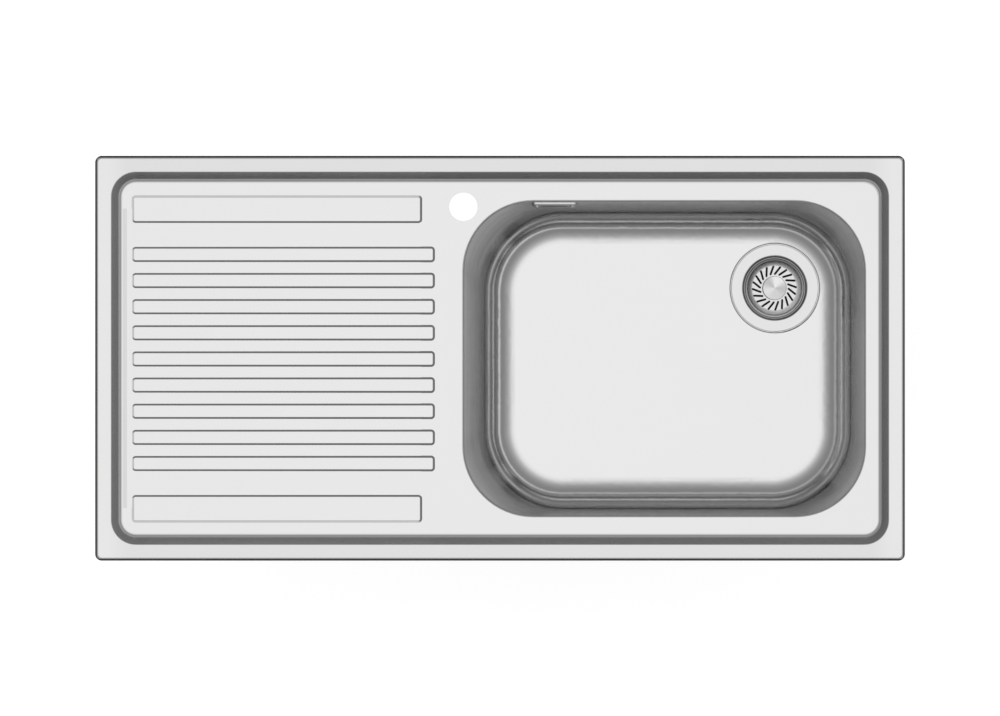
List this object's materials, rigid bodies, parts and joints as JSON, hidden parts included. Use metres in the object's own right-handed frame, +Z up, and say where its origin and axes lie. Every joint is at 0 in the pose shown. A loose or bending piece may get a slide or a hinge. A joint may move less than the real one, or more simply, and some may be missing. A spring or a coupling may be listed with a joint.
{
  "type": "kitchen sink with drainboard",
  "caption": "Inset stainless kitchen sink with a ribbed drainboard on the left, a deep bowl on the right, a basket strainer waste, an overflow and worktop clips.",
  "frame": {"origin": "centre of the rim's seat on the worktop's upper face", "axes": "+Z up, +X to the right along the sink's length with the drainboard at -X, +Y to the back where the tap stands"},
  "size_m": [1, 0.5, 0.283],
  "materials": {
    "satin_steel": "fine satin",
    "drawn_steel": "smooth satin, drawn",
    "waste_steel": "polished",
    "turned_steel": "turned",
    "rail_steel": "galvanised",
    "zinc_steel": "zinc plated",
    "screw_steel": "bright",
    "damping_pad": "matt",
    "foam": "open-cell foam",
    "rubber": "matt",
    "plastic": "moulded",
    "hose_plastic": "ribbed"
  },
  "bodies": {
    "sink": {"sink_top": "satin_steel", "bowl": "drawn_steel", "rim_seal": "foam", "rail_front": "rail_steel", "rail_rear_left": "rail_steel", "rail_rear_right": "rail_steel", "rail_left": "rail_steel", "rail_right": "rail_steel", "clip_brackets": "rail_steel", "bowl_pad": "damping_pad", "drain_pad": "damping_pad", "waste_cup": "waste_steel", "cup_seal": "rubber", "cup_washer": "rubber", "waste_body": "plastic", "waste_screw": "screw_steel", "overflow_plate": "waste_steel", "overflow_screws": "screw_steel", "overflow_gasket": "rubber", "overflow_elbow": "plastic", "overflow_hose": "hose_plastic", "hose_clips": "screw_steel"},
    "basket": {"basket": "waste_steel", "basket_hub": "plastic"},
    "stopper": {"knob": "turned_steel", "stem": "screw_steel", "stopper_seal": "rubber", "stem_clip": "screw_steel"},
    "clip_hook_01": {"clip_arm_01": "zinc_steel"},
    "clip_bolt_01": {"clip_screw_01": "screw_steel"},
    "clip_hook_02": {"clip_arm_02": "zinc_steel"},
    "clip_bolt_02": {"clip_screw_02": "screw_steel"},
    "clip_hook_03": {"clip_arm_03": "zinc_steel"},
    "clip_bolt_03": {"clip_screw_03": "screw_steel"},
    "clip_hook_04": {"clip_arm_04": "zinc_steel"},
    "clip_bolt_04": {"clip_screw_04": "screw_steel"},
    "clip_hook_05": {"clip_arm_05": "zinc_steel"},
    "clip_bolt_05": {"clip_screw_05": "screw_steel"},
    "clip_hook_06": {"clip_arm_06": "zinc_steel"},
    "clip_bolt_06": {"clip_screw_06": "screw_steel"},
    "clip_hook_07": {"clip_arm_07": "zinc_steel"},
    "clip_bolt_07": {"clip_screw_07": "screw_steel"},
    "clip_hook_08": {"clip_arm_08": "zinc_steel"},
    "clip_bolt_08": {"clip_screw_08": "screw_steel"}
  },
  "joints": [
    {"name": "basket_lift", "type": "slide", "parent": "sink", "child": "basket", "axis": [0, 0, 1], "range_m": [0, 0.245]},
    {"name": "stopper_pull", "type": "slide", "parent": "basket", "child": "stopper", "axis": [0, 0, 1], "range_m": [0, 0.007]},
    {"name": "clip_lift_01", "type": "slide", "parent": "sink", "child": "clip_hook_01", "axis": [0, 0, 1], "range_m": [0, 0.016]},
    {"name": "clip_turn_01", "type": "hinge", "parent": "clip_hook_01", "child": "clip_bolt_01", "pos_m": [-0.4, 0.224, -0.04], "axis": [0, 0, 1], "range_deg": [0, 7201]},
    {"name": "clip_lift_02", "type": "slide", "parent": "sink", "child": "clip_hook_02", "axis": [0, 0, 1], "range_m": [0, 0.016]},
    {"name": "clip_turn_02", "type": "hinge", "parent": "clip_hook_02", "child": "clip_bolt_02", "pos_m": [0.16, 0.224, -0.04], "axis": [0, 0, 1], "range_deg": [0, 7201]},
    {"name": "clip_lift_03", "type": "slide", "parent": "sink", "child": "clip_hook_03", "axis": [0, 0, 1], "range_m": [0, 0.016]},
    {"name": "clip_turn_03", "type": "hinge", "parent": "clip_hook_03", "child": "clip_bolt_03", "pos_m": [0.4, 0.224, -0.04], "axis": [0, 0, 1], "range_deg": [0, 7201]},
    {"name": "clip_lift_04", "type": "slide", "parent": "sink", "child": "clip_hook_04", "axis": [0, 0, 1], "range_m": [0, 0.016]},
    {"name": "clip_turn_04", "type": "hinge", "parent": "clip_hook_04", "child": "clip_bolt_04", "pos_m": [-0.4, -0.224, -0.04], "axis": [0, 0, 1], "range_deg": [0, 7201]},
    {"name": "clip_lift_05", "type": "slide", "parent": "sink", "child": "clip_hook_05", "axis": [0, 0, 1], "range_m": [0, 0.016]},
    {"name": "clip_turn_05", "type": "hinge", "parent": "clip_hook_05", "child": "clip_bolt_05", "pos_m": [0, -0.224, -0.04], "axis": [0, 0, 1], "range_deg": [0, 7201]},
    {"name": "clip_lift_06", "type": "slide", "parent": "sink", "child": "clip_hook_06", "axis": [0, 0, 1], "range_m": [0, 0.016]},
    {"name": "clip_turn_06", "type": "hinge", "parent": "clip_hook_06", "child": "clip_bolt_06", "pos_m": [0.4, -0.224, -0.04], "axis": [0, 0, 1], "range_deg": [0, 7201]},
    {"name": "clip_lift_07", "type": "slide", "parent": "sink", "child": "clip_hook_07", "axis": [0, 0, 1], "range_m": [0, 0.016]},
    {"name": "clip_turn_07", "type": "hinge", "parent": "clip_hook_07", "child": "clip_bolt_07", "pos_m": [0.474, 0, -0.04], "axis": [0, 0, 1], "range_deg": [0, 7201]},
    {"name": "clip_lift_08", "type": "slide", "parent": "sink", "child": "clip_hook_08", "axis": [0, 0, 1], "range_m": [0, 0.016]},
    {"name": "clip_turn_08", "type": "hinge", "parent": "clip_hook_08", "child": "clip_bolt_08", "pos_m": [-0.474, 0, -0.04], "axis": [0, 0, 1], "range_deg": [0, 7201]}
  ],
  "couplings": [
    {"joint": "clip_turn_01", "follows": "clip_lift_01", "rad_per_m": 7854},
    {"joint": "clip_turn_02", "follows": "clip_lift_02", "rad_per_m": 7854},
    {"joint": "clip_turn_03", "follows": "clip_lift_03", "rad_per_m": 7854},
    {"joint": "clip_turn_04", "follows": "clip_lift_04", "rad_per_m": 7854},
    {"joint": "clip_turn_05", "follows": "clip_lift_05", "rad_per_m": 7854},
    {"joint": "clip_turn_06", "follows": "clip_lift_06", "rad_per_m": 7854},
    {"joint": "clip_turn_07", "follows": "clip_lift_07", "rad_per_m": 7854},
    {"joint": "clip_turn_08", "follows": "clip_lift_08", "rad_per_m": 7854}
  ]
}
